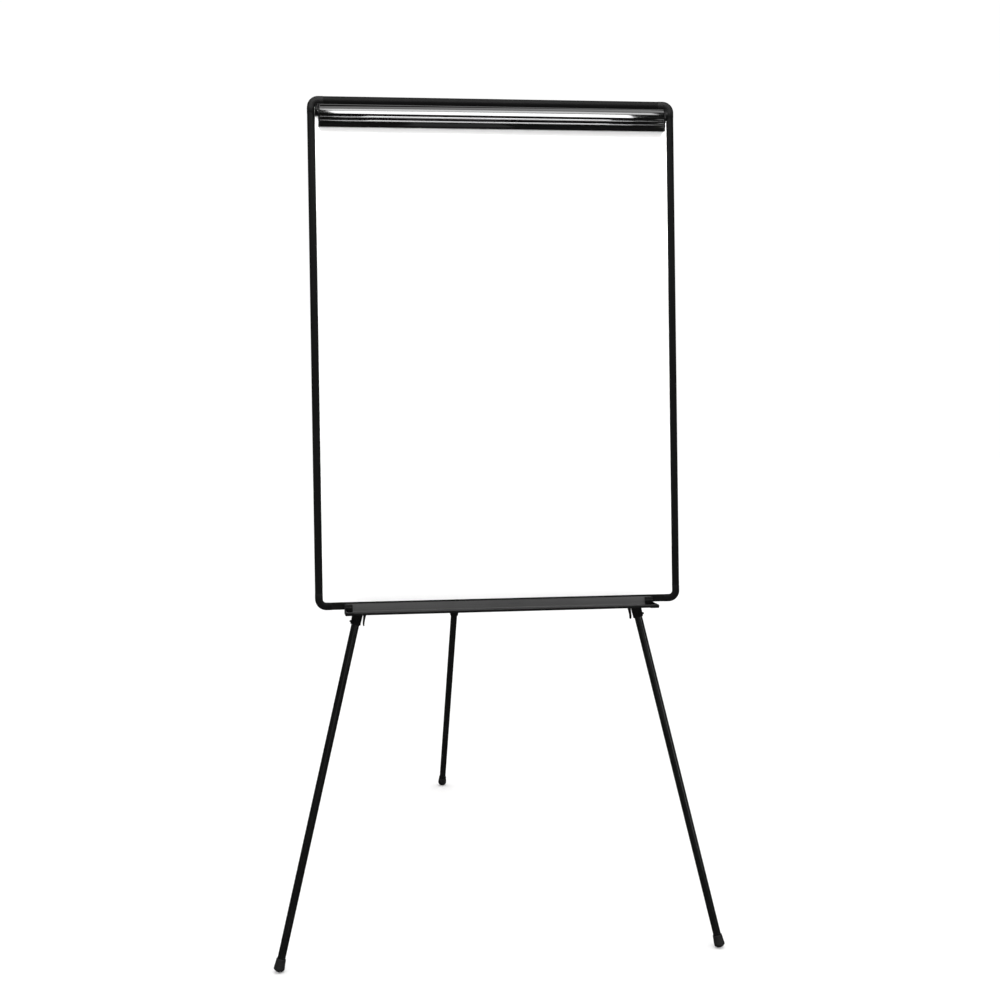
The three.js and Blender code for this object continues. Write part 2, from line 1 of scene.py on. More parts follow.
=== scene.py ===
"""The looks of a tripod flipchart easel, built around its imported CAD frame.

Shapes are drawn in millimetres in a local frame and scaled to metres when a piece is made. There are
two kinds of local frame. The board's has X to the right, Y back through the board and Z up its
slope, from the floor. A leg's has its origin at the fold pivot, Z up the tube and its lock lever on
the -X side. A piece whose material has a direction keeps its local frame as its object matrix.
"""

import json
import math

import bmesh
import bpy
from mathutils import Matrix, Vector

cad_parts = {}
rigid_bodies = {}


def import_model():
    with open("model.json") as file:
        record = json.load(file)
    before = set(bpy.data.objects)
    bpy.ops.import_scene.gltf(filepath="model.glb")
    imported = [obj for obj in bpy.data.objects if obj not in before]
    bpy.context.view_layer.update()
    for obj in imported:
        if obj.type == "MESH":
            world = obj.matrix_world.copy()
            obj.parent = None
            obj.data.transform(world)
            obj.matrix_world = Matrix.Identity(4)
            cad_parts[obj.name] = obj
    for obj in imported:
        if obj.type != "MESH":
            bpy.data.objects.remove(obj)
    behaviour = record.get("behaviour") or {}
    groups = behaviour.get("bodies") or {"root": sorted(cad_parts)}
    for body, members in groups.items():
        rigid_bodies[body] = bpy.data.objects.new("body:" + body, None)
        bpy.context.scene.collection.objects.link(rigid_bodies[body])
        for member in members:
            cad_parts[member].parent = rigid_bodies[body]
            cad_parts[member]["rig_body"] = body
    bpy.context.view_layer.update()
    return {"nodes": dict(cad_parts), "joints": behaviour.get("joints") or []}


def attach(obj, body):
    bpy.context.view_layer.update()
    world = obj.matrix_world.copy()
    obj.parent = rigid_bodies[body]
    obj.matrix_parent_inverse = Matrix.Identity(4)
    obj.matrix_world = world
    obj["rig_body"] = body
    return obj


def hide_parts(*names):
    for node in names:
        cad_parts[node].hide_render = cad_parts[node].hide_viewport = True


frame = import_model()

MM = 0.001
JOINTS = {joint["name"]: joint for joint in frame["joints"]}

# ------------ styling, in millimetres

WALL = 1.8  # walls of the extruded frame bars
LIP = 2.0  # thickness of the frame's front lip
CROWN = 1.2  # how far the front of a frame bar bulges
CLOSED = Vector((0.13, 0.13, 0.13))  # how much further frame pieces reach than the CAD's, to meet
SEAM = 0.2  # how far a bar lies below its corner pieces
CORNER_RADIUS = 22.0
PANEL_RADIUS = 18.0
FITTING_FACE = 30.3  # where fittings sit on the frame's face, ahead of the front legs' axes
PIN_HOLE = 2.3  # radius of a hole for a retainer pin or a board screw
BOLT_HEX, BOLT_SHANK, BOLT_HOLE = 5.6, 3.0, 3.3  # radii of the pivot bolts and of their holes
LEVER_PIN_HOLE = 1.8
TURN_SEGMENTS = 64
SMOOTH_ANGLE = 38  # degrees, below which a piece is shaded smooth

# ------------ local frames


def board_frame():
    """X right, Y back through the board, Z up its slope, with the origin on the floor."""
    pivot = Vector(JOINTS["left_leg_fold"]["pos_m"])
    back = -Vector(JOINTS["left_leg_fold"]["axis"])
    right = Vector((1, 0, 0))
    up = right.cross(back)
    origin = pivot - up * (pivot.z / up.z)
    origin.x = 0
    return Matrix.Translation(origin) @ Matrix((right, back, up)).transposed().to_4x4()


def leg_frame(leg):
    """Z up the leg's tube from its fold pivot, Y along its lever's pin, the lever on the -X side."""
    up = -Vector(JOINTS[f"{leg}_extend"]["axis"])
    pin = Vector(JOINTS[f"{leg}_lever_flip"]["axis"])
    turn = Matrix((pin.cross(up), pin, up)).transposed().to_4x4()
    return Matrix.Translation(JOINTS[f"{leg}_fold"]["pos_m"]) @ turn


def measured(node, place):
    """The lowest and highest corners of a CAD node in a local frame, in millimetres."""
    inverse = place.inverted()
    points = [inverse @ vertex.co / MM for vertex in frame["nodes"][node].data.vertices]
    low = Vector(min(point[axis] for point in points) for axis in range(3))
    high = Vector(max(point[axis] for point in points) for axis in range(3))
    return low, high


BOARD = board_frame()

# ------------ outlines


def traced(start, *moves, steps=10):
    """An outline from straight moves (x, y) and curved moves (control x, control y, x, y)."""
    points = [Vector(start)]
    for move in moves:
        here = points[-1]
        if len(move) == 2:
            points.append(Vector(move))
            continue
        control, end = Vector(move[:2]), Vector(move[2:])
        for step in range(1, steps + 1):
            t = step / steps
            points.append(here * (1 - t) ** 2 + control * 2 * t * (1 - t) + end * t * t)
    return points


def filleted(corners, steps=5):
    """An outline through (x, y, radius) corners, each one rounded by its own radius."""
    outline = []
    for index, (x, y, radius) in enumerate(corners):
        corner = Vector((x, y))
        if radius == 0:
            outline.append(corner)
            continue
        back = (Vector(corners[index - 1][:2]) - corner).normalized()
        ahead = (Vector(corners[(index + 1) % len(corners)][:2]) - corner).normalized()
        half = back.angle(ahead) / 2
        centre = corner + (back + ahead).normalized() * (radius / math.sin(half))
        first = corner + back * (radius / math.tan(half)) - centre
        last = corner + ahead * (radius / math.tan(half)) - centre
        for step in range(steps + 1):
            outline.append(centre + first.slerp(last, step / steps).normalized() * radius)
    return outline


def rounded_rectangle(left, right, low, high, radius, steps=8):
    """A rectangle's outline with its four corners rounded alike."""
    corners = [(left, low), (right, low), (right, high), (left, high)]
    return filleted([(x, y, radius) for x, y in corners], steps)


def facing(points):
    """(ahead, up) points as the board frame's (Y, Z)."""
    return [(-ahead, up) for ahead, up in points]


# ------------ meshes


def lofted(rings):
    """A closed body through rings of equally many points, with a flat face on each end."""
    body = bmesh.new()
    loops = [[body.verts.new(point) for point in ring] for ring in rings]
    for low, high in zip(loops, loops[1:]):
        for index in range(len(low)):
            after = (index + 1) % len(low)
            body.faces.new((low[index], low[after], high[after], high[index]))
    body.faces.new(loops[0][::-1])
    body.faces.new(loops[-1])
    return body


def prism(outline, axis, low, high):
    """An outline over the other two axes, in their own order, carried from low to high on the axis."""
    place = {
        "x": lambda a, b, depth: (depth, a, b),
        "y": lambda a, b, depth: (a, depth, b),
        "z": lambda a, b, depth: (a, b, depth),
    }[axis]
    return lofted([[place(*point, depth) for point in outline] for depth in (low, high)])


def block(x, y, z):
    """A box over (low, high) spans."""
    return prism([(x[0], y[0]), (x[1], y[0]), (x[1], y[1]), (x[0], y[1])], "z", *z)


def turned(profile, segments=TURN_SEGMENTS, hollow=False):
    """A turned body about Z through (radius, height) points; a hollow one closes on itself."""
    body = bmesh.new()
    turns = [2 * math.pi * step / segments for step in range(segments)]
    rings = []
    for radius, height in profile:
        count = turns if radius > 0 else turns[:1]
        rings.append([body.verts.new((radius * math.cos(t), radius * math.sin(t), height)) for t in count])
    pairs = list(zip(rings, rings[1:])) + ([(rings[-1], rings[0])] if hollow else [])
    for low, high in pairs:
        for index in range(segments):
            after = (index + 1) % segments
            corners = [low[index % len(low)], low[after % len(low)]]
            corners += [high[after % len(high)], high[index % len(high)]]
            body.faces.new(list(dict.fromkeys(corners)))
    return body


def moved(body, matrix):
    bmesh.ops.transform(body, matrix=matrix, verts=body.verts[:])
    return body


def along(axis, body, x=0, y=0, z=0):
    """A body made about Z, laid along the x or the y axis and moved to a place."""
    turn = {"x": Matrix.Rotation(math.pi / 2, 4, "Y"), "y": Matrix.Rotation(-math.pi / 2, 4, "X")}
    return moved(body, Matrix.Translation((x, y, z)) @ turn[axis])


def combined(body, others, operation):
    """The body with the others joined to it (UNION) or cut out of it (DIFFERENCE), or only what it
    shares with them (INTERSECT)."""
    merging = 0.002
    objects = []
    for source in [body, *others]:
        bmesh.ops.recalc_face_normals(source, faces=source.faces[:])
        mesh = bpy.data.meshes.new("scratch")
        source.to_mesh(mesh)
        source.free()
        objects.append(bpy.data.objects.new("scratch", mesh))
        bpy.context.scene.collection.objects.link(objects[-1])
    for other in objects[1:]:
        modifier = objects[0].modifiers.new("combine", "BOOLEAN")
        modifier.operation = operation
        modifier.object = other
        modifier.solver = "EXACT"
    result = bmesh.new()
    result.from_object(objects[0], bpy.context.evaluated_depsgraph_get())
    for scratch in objects:
        mesh = scratch.data
        bpy.data.objects.remove(scratch)
        bpy.data.meshes.remove(mesh)
    bmesh.ops.remove_doubles(result, verts=result.verts[:], dist=merging)
    bmesh.ops.dissolve_degenerate(result, edges=result.edges[:], dist=merging)
    return result


def joined(body, *others):
    return combined(body, others, "UNION")


def cut(body, *others):
    return combined(body, others, "DIFFERENCE")


def softened(body, width, segments=2, angle=32):
    """The body with each edge that is sharper than the angle rounded over."""
    bmesh.ops.recalc_face_normals(body, faces=body.faces[:])
    limit = math.radians(angle)
    sharp = [edge for edge in body.edges if len(edge.link_faces) == 2 and edge.calc_face_angle() > limit]
    bmesh.ops.bevel(body, geom=sharp, offset=width, segments=segments, profile=0.5, affect="EDGES",
                    clamp_overlap=True)
    return body


# ------------ materials


class Finish:
    """A Principled material and short ways to add texture nodes to it.

    `place` is the object's own coordinates, and `boxed` runs from 0 to 1 over the piece's own box.
    """

    def __init__(self, name, roughness, metallic=0.0, **settings):
        self.material = bpy.data.materials.new(name)
        self.material.use_nodes = True
        self.tree = self.material.node_tree
        self.shader = self.tree.nodes["Principled BSDF"]
        self.shader.inputs["Roughness"].default_value = roughness
        self.shader.inputs["Metallic"].default_value = metallic
        for socket, value in settings.items():
            self.shader.inputs[socket.replace("_", " ")].default_value = value
        coordinates = self.tree.nodes.new("ShaderNodeTexCoord").outputs
        self.place, self.boxed = coordinates["Object"], coordinates["Generated"]

    def feed(self, socket, value):
        """Links another node's output to a socket, or sets the socket to a plain value."""
        if hasattr(value, "is_output"):
            self.tree.links.new(value, socket)
        else:
            socket.default_value = value

    def node(self, kind, links=None, **settings):
        node = self.tree.nodes.new(f"ShaderNode{kind}")
        for name, value in settings.items():
            setattr(node, name, value)
        for socket, value in (links or {}).items():
            self.feed(node.inputs[socket], value)
        return node

    def stretched(self, scale):
        """Object coordinates multiplied by a scale on each axis."""
        return self.node("Mapping", {"Vector": self.place, "Scale": scale}).outputs["Vector"]

    def noise(self, scale, detail=2.0, stretch=None, roughness=0.5):
        place = self.stretched(stretch) if stretch else self.place
        links = {"Vector": place, "Scale": scale, "Detail": detail, "Roughness": roughness}
        return self.node("TexNoise", links).outputs["Fac"]

    def spread(self, value, low, high, start=0.0, end=1.0):
        """A value carried from the range start-end to the range low-high, and held inside it."""
        links = {"Value": value, "From Min": start, "From Max": end, "To Min": low, "To Max": high}
        return self.node("MapRange", links).outputs["Result"]

    def colours(self, value, *stops):
        """A colour ramp over the value, from (position, colour) stops."""
        ramp = self.node("ValToRGB", {"Fac": value})
        elements = ramp.color_ramp.elements
        for index, (position, colour) in enumerate(stops):
            element = elements[index] if index < 2 else elements.new(position)
            element.position = position
            element.color = (*colour, 1)
        return ramp.outputs["Color"]

    def mixed(self, amount, first, second):
        """The first colour, and by the amount the second."""
        mix = self.node("Mix", {"Factor": amount}, data_type="RGBA")
        colour_inputs = [socket for socket in mix.inputs if socket.type == "RGBA"]
        for socket, value in zip(colour_inputs, (first, second)):
            self.feed(socket, (*value, 1) if isinstance(value, tuple) else value)
        return next(socket for socket in mix.outputs if socket.type == "RGBA")

    def math(self, operation, first, second):
        node = self.node("Math", operation=operation)
        for socket, value in zip(node.inputs, (first, second)):
            self.feed(socket, value)
        return node.outputs[0]

    def edges(self, start=0.515, end=0.56):
        """One on convex edges, nothing elsewhere, from the mesh's own bevels."""
        pointiness = self.node("NewGeometry").outputs["Pointiness"]
        return self.spread(pointiness, 0.0, 1.0, start, end)

    def bump(self, height, strength, distance, below=None):
        links = {"Height": height, "Strength": strength, "Distance": distance}
        if below:
            links["Normal"] = below
        return self.node("Bump", links).outputs["Normal"]

    def drive(self, **values):
        """Links values to the shader's sockets and returns the finished material."""
        for socket, value in values.items():
            self.tree.links.new(value, self.shader.inputs[socket.replace("_", " ")])
        return self.material


def grey(value, warmth=0.0):
    """A grey colour, with its red raised and its blue lowered by the warmth."""
    return (value * (1 + warmth), value, value * (1 - warmth))


def powder_coat():
    """Satin black powder coat on the frame bars: a fine pebbled skin, a little thin on the edges."""
    finish = Finish("frame_powder_coat", 0.3, Specular_IOR_Level=0.015)
    cloud = finish.noise(7.0, 3.0)
    pebbles = finish.noise(900.0, 2.0)
    body = finish.colours(cloud, (0.3, grey(0.0025)), (0.7, grey(0.0045)))
    colour = finish.mixed(finish.math("MULTIPLY", finish.edges(0.53, 0.6), 0.3), body, grey(0.012))
    rough = finish.math("ADD", finish.spread(cloud, 0.26, 0.32), finish.spread(pebbles, -0.02, 0.04))
    return finish.drive(Base_Color=colour, Roughness=rough, Normal=finish.bump(pebbles, 0.16, 0.00025))


def moulded_plastic():
    """Black moulded plastic with an even spark-eroded grain and slight flow marks."""
    finish = Finish("fitting_plastic", 0.36, Specular_IOR_Level=0.04)
    cells = finish.node("TexVoronoi", {"Vector": finish.place, "Scale": 1500.0}, feature="SMOOTH_F1")
    grain = finish.math("MULTIPLY", cells.outputs["Distance"], finish.noise(2550.0, 2.0))
    flow = finish.noise(22.0, 3.0, stretch=(1.0, 1.0, 0.35))
    body = finish.colours(flow, (0.3, grey(0.0025)), (0.7, grey(0.0045)))
    colour = finish.mixed(finish.math("MULTIPLY", finish.edges(0.53, 0.6), 0.3), body, grey(0.014))
    rough = finish.spread(flow, 0.31, 0.42)
    return finish.drive(Base_Color=colour, Roughness=rough, Normal=finish.bump(grain, 0.3, 0.0003))


def anodised_tray():
    """Black anodised extrusion: fine drawing lines along the bar, and painted light inside its trough, a
    cloudy lighter grey on everything behind the front lip, so that the trough and upstand look lit and the
    lip looks shaded.
    """
    finish = Finish("tray_anodised", 0.4, Specular_IOR_Level=0.05)
    lines = finish.noise(1.0, 3.0, stretch=(3.0, 2400.0, 2400.0))
    cloud = finish.noise(9.0, 2.0)
    body = finish.colours(lines, (0.35, grey(0.003)), (0.7, grey(0.006)))
    # painted light: everything behind the front lip gets a cloudy lighter grey, as if the trough and upstand
    # were lit from above, while the lip keeps the dark body colour as painted shade
    across = finish.node("SeparateXYZ", {"Vector": finish.boxed}).outputs["Y"]
    behind_lip = finish.spread(across, 0, 1, 0.06, 0.14)
    painted_light_mask = finish.math("MULTIPLY", behind_lip, finish.spread(cloud, 0.75, 1.0, 0.3, 0.7))
    dust_and_painted_light = finish.colours(lines, (0.35, grey(0.05)), (0.7, grey(0.075)))
    colour = finish.mixed(painted_light_mask, body, dust_and_painted_light)
    rough = finish.math("ADD", finish.spread(lines, 0.34, 0.48), finish.spread(cloud, -0.03, 0.05))
    return finish.drive(Base_Color=colour, Roughness=rough, Normal=finish.bump(lines, 0.12, 0.0002))


def tube_enamel():
    """Semi-gloss black enamel on steel: orange peel, and faint rub lines along the tube."""
    finish = Finish("tube_enamel", 0.2, Coat_Weight=0.25, Coat_Roughness=0.12)
    peel = finish.noise(260.0, 2.0)
    rubs = finish.noise(1.0, 4.0, stretch=(900.0, 900.0, 7.0))
    patches = finish.noise(14.0, 2.0)
    rubbed = finish.spread(rubs, 0, 1, 0.58, 0.72)
    worn = finish.math("MULTIPLY", rubbed, finish.spread(patches, 0, 1, 0.45, 0.7))
    body = finish.colours(patches, (0.3, grey(0.003)), (0.7, grey(0.005)))
    colour = finish.mixed(finish.math("MULTIPLY", worn, 0.4), body, grey(0.02))
    rough = finish.math("ADD", finish.spread(worn, 0.19, 0.34), finish.spread(peel, -0.02, 0.03))
    return finish.drive(Base_Color=colour, Roughness=rough, Normal=finish.bump(peel, 0.08, 0.0004))


def retainer_gloss():
    """High-gloss black extrusion with faint die lines along it and fine handling scratches."""
    finish = Finish("retainer_gloss", 0.08, Specular_IOR_Level=0.45, Coat_Weight=0.4, Coat_Roughness=0.04)
    lines = finish.noise(1.0, 2.0, stretch=(2.0, 700.0, 700.0))
    scuffs = finish.noise(1.0, 4.0, stretch=(60.0, 900.0, 900.0))
    handled = finish.noise(5.0, 2.0)
    scuffed = finish.spread(scuffs, 0, 1, 0.6, 0.75)
    mark = finish.math("MULTIPLY", scuffed, finish.spread(handled, 0, 1, 0.4, 0.7))
    body = finish.colours(lines, (0.3, grey(0.003)), (0.7, grey(0.0045)))
    colour = finish.mixed(finish.math("MULTIPLY", mark, 0.25), body, grey(0.05))
    rough = finish.math("ADD", finish.spread(mark, 0.07, 0.2), finish.spread(lines, -0.01, 0.015))
    return finish.drive(Base_Color=colour, Roughness=rough, Normal=finish.bump(lines, 0.05, 0.00015))


def dry_erase():
    """Smooth white dry-erase coat: a trace of orange peel and the ghosts of wiping."""
    finish = Finish("board_dry_erase", 0.16, Coat_Weight=0.3, Coat_Roughness=0.08)
    peel = finish.noise(70.0, 2.0)
    wipes = finish.noise(1.0, 4.0, stretch=(2.2, 1.0, 9.0))
    colour = finish.colours(wipes, (0.35, grey(0.9, 0.002)), (0.65, grey(0.91)))
    rough = finish.spread(wipes, 0.14, 0.17, 0.35, 0.65)
    return finish.drive(Base_Color=colour, Roughness=rough, Normal=finish.bump(peel, 0.02, 0.0006))


def pressed_hardboard():
    """Bare hardboard: matted fibres, darker flecks and the print of the press screen."""
    finish = Finish("back_hardboard", 0.8)
    fibres = finish.noise(240.0, 6.0, roughness=0.7)
    flecks = finish.noise(700.0, 3.0)
    broad = finish.noise(4.0, 3.0)
    brown = finish.colours(fibres, (0.3, (0.16, 0.085, 0.042)), (0.5, (0.27, 0.155, 0.08)),
                           (0.72, (0.4, 0.25, 0.14)))
    toned = finish.mixed(finish.spread(broad, 0.0, 0.45), brown, (0.21, 0.12, 0.065))
    colour = finish.mixed(finish.spread(flecks, 0.0, 0.8, 0.62, 0.75), toned, (0.07, 0.035, 0.018))
    screen = None
    for direction in ("X", "Z"):
        wave = finish.node("TexWave", {"Vector": finish.place, "Scale": 260.0, "Distortion": 0.6},
                           bands_direction=direction, wave_profile="SIN").outputs["Fac"]
        screen = finish.math("MULTIPLY", screen, wave) if screen else wave
    normal = finish.bump(fibres, 0.5, 0.0004, finish.bump(screen, 0.45, 0.0005))
    return finish.drive(Base_Color=colour, Roughness=finish.spread(fibres, 0.7, 0.9), Normal=normal)


def moulded_rubber():
    """Matt black rubber with a dusty bloom and a coarse skin."""
    finish = Finish("foot_rubber", 0.75, Specular_IOR_Level=0.15, Sheen_Weight=0.03, Sheen_Roughness=0.5)
    skin = finish.noise(900.0, 3.0)
    dust_and_painted_light = finish.noise(60.0, 5.0, roughness=0.65)
    colour = finish.colours(dust_and_painted_light, (0.4, grey(0.004)), (0.75, grey(0.011, 0.04)))
    return finish.drive(Base_Color=colour, Roughness=finish.spread(dust_and_painted_light, 0.62, 0.86),
                        Normal=finish.bump(skin, 0.35, 0.0003))


def zinc_plate():
    """Bright zinc plate with a cloudy, faintly yellow passivation and turning marks."""
    finish = Finish("fastener_zinc", 0.3, 1.0)
    cloud = finish.noise(260.0, 3.0)
    marks = finish.noise(1600.0, 2.0)
    body = finish.colours(cloud, (0.35, (0.5, 0.52, 0.56)), (0.65, (0.64, 0.63, 0.58)))
    colour = finish.mixed(finish.math("MULTIPLY", finish.edges(), 0.6), body, grey(0.8))
    rough = finish.math("ADD", finish.spread(cloud, 0.22, 0.36), finish.spread(marks, -0.04, 0.08))
    return finish.drive(Base_Color=colour, Roughness=rough, Normal=finish.bump(marks, 0.12, 0.0001))


def blued_spring():
    """Rolled spring strip, blued, with its rolling lines across the leaf."""
    finish = Finish("spring_blued", 0.3, 1.0)
    lines = finish.noise(1.0, 3.0, stretch=(40.0, 2200.0, 2200.0))
    cloud = finish.noise(120.0, 2.0)
    colour = finish.colours(cloud, (0.3, (0.16, 0.19, 0.27)), (0.7, (0.33, 0.34, 0.38)))
    return finish.drive(Base_Color=colour, Roughness=finish.spread(lines, 0.2, 0.4),
                        Normal=finish.bump(lines, 0.1, 0.0001))


def studio_floor():
    """Pale seamless paper with a trace of tooth."""
    finish = Finish("floor_paper", 0.9)
    tooth = finish.noise(220.0, 3.0)
    colour = finish.colours(finish.noise(1.5, 2.0), (0.3, grey(0.93)), (0.7, grey(0.95)))
    return finish.drive(Base_Color=colour, Normal=finish.bump(tooth, 0.1, 0.0004))


MATERIALS = {
    "frame_black": powder_coat(),
    "tray_black": anodised_tray(),
    "tube_black": tube_enamel(),
    "plastic_black": moulded_plastic(),
    "retainer_black": retainer_gloss(),
    "board_white": dry_erase(),
    "hardboard_brown": pressed_hardboard(),
    "rubber_black": moulded_rubber(),
    "zinc_steel": zinc_plate(),
    "spring_steel": blued_spring(),
}

# ------------ pieces


def link_mesh(name, body, material):
    """An object in the scene from a mesh body in millimetres."""
    bmesh.ops.recalc_face_normals(body, faces=body.faces[:])
    bmesh.ops.scale(body, vec=(MM, MM, MM), verts=body.verts[:])
    mesh = bpy.data.meshes.new(name)
    body.to_mesh(mesh)
    body.free()
    mesh.shade_smooth()
    mesh.set_sharp_from_angle(angle=math.radians(SMOOTH_ANGLE))
    mesh.materials.append(material)
    made = bpy.data.objects.new(name, mesh)
    bpy.context.scene.collection.objects.link(made)
    return made


# The slots whose materials have a direction, so that a piece keeps its local frame as its own.
DIRECTIONAL = {"tray_black", "tube_black", "retainer_black", "spring_steel", "hardboard_brown"}


def stand_in(node, body, place, slot):
    """The fine piece that is shown for a CAD node, on the node's own body."""
    if slot in DIRECTIONAL:
        made = link_mesh(f"{node}_fine", body, MATERIALS[slot])
        made.matrix_world = place
    else:
        shift = place.copy()
        shift.translation = place.translation / MM
        made = link_mesh(f"{node}_fine", moved(body, shift), MATERIALS[slot])
    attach(made, frame["nodes"][node]["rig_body"])
    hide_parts(node)


def middle(node):
    """The middle of a CAD node's box in the board's frame."""
    low, high = measured(node, BOARD)
    return (low + high) / 2


# ------------ board frame


def bar_section(back, front, width, slot_back, wall):
    """A frame bar's outline as (ahead, inwards) points: a crowned face, and a slot for the panel.

    Between its back and the slot the bar is a channel with this wall, or solid where wall is None.
    """
    edge = front - CROWN
    lip_back = front - LIP
    outside = wall or WALL
    corners = [(back, 0, 0.9), (back, width, 0.5)]
    if wall:
        rib_back = slot_back - wall
        corners += [(back + wall, width, 0.4), (back + wall, wall, 0.3)]
        corners += [(rib_back, wall, 0.3), (rib_back, width, 0.4)]
    corners += [(slot_back, width, 0.4), (slot_back, outside, 0.3)]
    corners += [(lip_back, outside, 0.3), (lip_back, width, 0.35), (edge, width, 0.35)]
    crown_steps = 12
    for step in range(1, crown_steps):
        across = 1 - 2 * step / crown_steps
        corners.append((front - CROWN * across * across, width * (1 + across) / 2, 0))
    corners.append((edge, 0, 1.0))
    return filleted(corners, 4)


def swept(section, stations):
    """A body from a section of (ahead, inwards) points and ((x, z), inward direction) stations."""
    return lofted([
        [(x + inward[0] * depth, -ahead, z + inward[1] * depth) for ahead, depth in section]
        for (x, z), inward in stations
    ])


def corner_stations(centre, sideways, upward, reach):
    """The outer edge of a frame corner: a straight stub, a quarter turn and another stub."""
    arc_steps = 14
    stub = reach - CORNER_RADIUS
    stations = [((centre.x + sideways * CORNER_RADIUS, centre.y - upward * stub), (-sideways, 0))]
    for step in range(arc_steps + 1):
        turn = math.pi / 2 * step / arc_steps
        out = Vector((sideways * math.cos(turn), upward * math.sin(turn)))
        stations.append((tuple(centre + out * CORNER_RADIUS), tuple(-out)))
    stations.append(((centre.x - sideways * stub, centre.y + upward * CORNER_RADIUS), (0, -upward)))
    return stations


def frame_section(seam, wall):
    """The section of the frame's bars or corners, this far below its full size."""
    low, high = measured("top_rail", BOARD)
    slot_back = -measured("backing_sheet", BOARD)[1].y - 0.3
    return bar_section(-high.y, -low.y - seam, high.z - low.z - seam, slot_back, wall)


def build_bars():
    section = frame_section(SEAM, WALL)
    inwards = {"top_rail": (0, -1), "bottom_rail": (0, 1), "left_rail": (1, 0), "right_rail": (-1, 0)}
    for node, inward in inwards.items():
        low, high = measured(node, BOARD)
        edge = {"top_rail": high.z, "bottom_rail": low.z, "left_rail": low.x, "right_rail": high.x}[node]
        edge += SEAM * (inward[0] + inward[1])
        low, high = low - CLOSED, high + CLOSED
        ends = [(edge, low.z), (edge, high.z)] if inward[0] else [(low.x, edge), (high.x, edge)]
        bar = swept(section, [(end, inward) for end in ends])
        stand_in(node, softened(bar, 0.15, 1, 60), BOARD, "frame_black")


def build_corners():
    section = frame_section(0, None)
    for node in ("top_left_corner", "top_right_corner", "bottom_left_corner", "bottom_right_corner"):
        low, high = measured(node, BOARD)
        sideways = 1 if "right" in node else -1
        upward = 1 if "top" in node else -1
        outer = Vector((high.x if sideways > 0 else low.x, high.z if upward > 0 else low.z))
        centre = outer - Vector((sideways, upward)) * CORNER_RADIUS
        corner = swept(section, corner_stations(centre, sideways, upward, high.x - low.x + CLOSED.x))
        stand_in(node, softened(corner, 0.2, 2, 60), BOARD, "plastic_black")


def build_panels():
    """The white panel and the sheet behind it."""
    for node, slot in (("dry_erase_panel", "board_white"), ("backing_sheet", "hardboard_brown")):
        low, high = measured(node, BOARD)
        outline = rounded_rectangle(low.x, high.x, low.z, high.z, PANEL_RADIUS, 12)
        sheet = prism(outline, "y", low.y, high.y)
        stand_in(node, softened(sheet, 0.25, 2), BOARD, slot)


# ------------ marker tray


def tray_outline(edge, front, grooved=True):
    """The tray's outline about the frame's lower edge: a flange under the frame, an upstand over its
    face, a trough with three pen grooves and a front lip."""
    floor, base = edge - 5.3, edge - 6.9
    flange_back, flange_top, flange_under = 14, edge - 0.3, edge - 2.3
    upstand_top = edge + 11.7
    corners = [(FITTING_FACE, flange_top, 0.2), (flange_back, flange_top, 0.3),
               (flange_back, flange_under, 0.6), (28.6, flange_under, 1.2), (31.2, base, 3.2),
               (front, base, 1.8), (front, edge - 1.9, 0.7), (front - 1.8, edge - 2.1, 0.5),
               (front - 2.5, floor, 1.4)]
    for groove in (76, 62, 48) if grooved else ():
        corners += [(groove + 1.2, floor, 0.2), (groove + 0.8, floor - 0.35, 0.2),
                    (groove - 0.8, floor - 0.35, 0.2), (groove - 1.2, floor, 0.2)]
    corners += [(34.0, floor, 3.4), (31.8, upstand_top, 0.6), (FITTING_FACE, upstand_top, 0.4)]
    return facing(filleted(corners, 5))


def tray_cap(span, sleeve, edge, front):
    """An end cap: a plate over the tray's end, and a sleeve round it that leaves its floor clear."""
    low, cap_front = edge - 7.9, front + 0.9
    outline = facing(filleted([
        (FITTING_FACE, low + 2, 0.4), (32.5, low, 0.8), (cap_front, low, 4.8), (cap_front, low + 7, 1.6),
        (42, low + 8.2, 3), (35.4, edge + 4, 2), (34.6, edge + 9.6, 0.8), (FITTING_FACE, edge + 11.6, 0.4)]))
    cap = softened(prism(outline, "x", *span), 0.5, 3, 60)
    over_floor = block(sleeve, (3.6 - front, -36), (edge - 5.2, edge + 14))
    cuts = [over_floor]
    clearance = 0.25
    for ahead in (-clearance, clearance):
        for up in (-clearance, clearance):
            slot = prism(tray_outline(edge, front, grooved=False), "x", *sleeve)
            cuts.append(moved(slot, Matrix.Translation((0, -ahead, up))))
    return cut(cap, *cuts)


def build_tray():
    edge = measured("bottom_rail", BOARD)[0].z
    low, high = measured("marker_tray", BOARD)
    front = -low.y
    tray = prism(tray_outline(edge, front), "x", low.x, high.x)
    stand_in("marker_tray", softened(tray, 0.15, 1, 60), BOARD, "tray_black")
    for side, node in ((-1, "left_tray_end_cap"), (1, "right_tray_end_cap")):
        cap_low, cap_high = measured(node, BOARD)
        sleeve = sorted((side * (high.x + 0.2), side * (high.x - 20)))  # 20 is more than a sleeve's length
        stand_in(node, tray_cap((cap_low.x, cap_high.x), sleeve, edge, front), BOARD, "plastic_black")


# ------------ pad retainer


def retainer_face(top):
    """The retainer's outer (ahead, up) face: a bulge, two thin ridges and an upright lip."""
    return traced(
        (31.2, top - 1.8),
        (31.4, top, 33.4, top),
        (48.3, top - 2.4, 50.9, top - 22.6),
        (51, top - 23.6, 50, top - 23.7),
        (47.6, top - 23.9),
        (47.4, top - 27.9),
        (48.8, top - 28.2),
        (49.9, top - 29.5, 48.8, top - 30.8),
        (47, top - 31.1),
        (46.6, top - 35.2),
        (47.8, top - 35.5),
        (48.9, top - 36.8, 47.6, top - 38.1),
        (45.8, top - 38.4),
        (45.3, top - 46.6),
        (45.1, top - 48.2, 43.4, top - 48.1),
        (30, top - 46.4),
        (28.4, top - 45.4),
        steps=14,
    )


